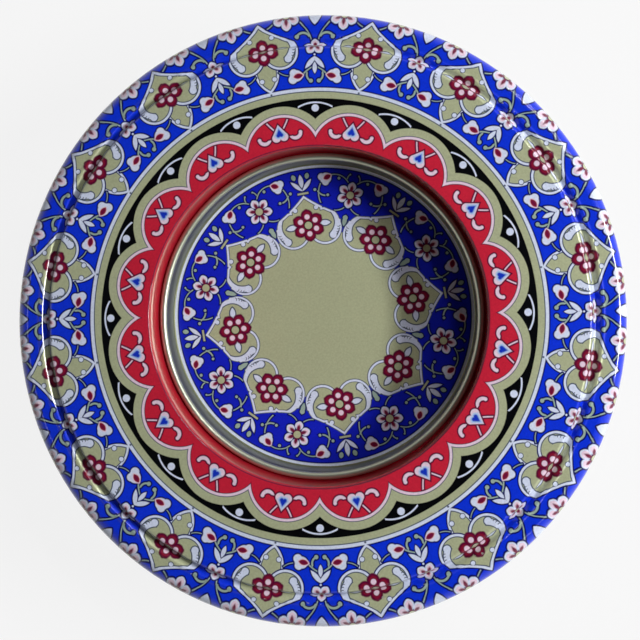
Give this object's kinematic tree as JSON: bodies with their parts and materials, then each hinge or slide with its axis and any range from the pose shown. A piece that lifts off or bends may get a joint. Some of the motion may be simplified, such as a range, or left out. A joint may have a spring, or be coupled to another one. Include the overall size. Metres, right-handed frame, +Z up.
{
  "type": "saffron tin",
  "caption": "Round printed tinplate tin for saffron, with a lift-off cover, a pressed groove round its flat top and a display well sunk in the lid, whose rolled metal rim sits at the foot of a printed wall.",
  "frame": {"origin": "middle of the underside, on the surface the tin stands on", "axes": "+Z up along the tin's axis; the base's lock seam is at the back, on +Y"},
  "size_m": [0.12, 0.12, 0.026],
  "materials": {
    "printed_lid": "glossy lacquered print on tinplate",
    "gold_lacquer": "satin gold lacquer on tinplate",
    "printed_band": "glossy lacquered print on tinplate",
    "plain_tinplate": "bright tinplate"
  },
  "bodies": {
    "base": {"body_band": "printed_band", "bottom_panel": "plain_tinplate"},
    "lid": {"lid_shell": "printed_lid", "lid_cup": "gold_lacquer"}
  },
  "joints": [
    {"name": "lid_lift", "type": "slide", "parent": "base", "child": "lid", "axis": [0, 0, 1], "range_m": [0, 0.03]}
  ]
}
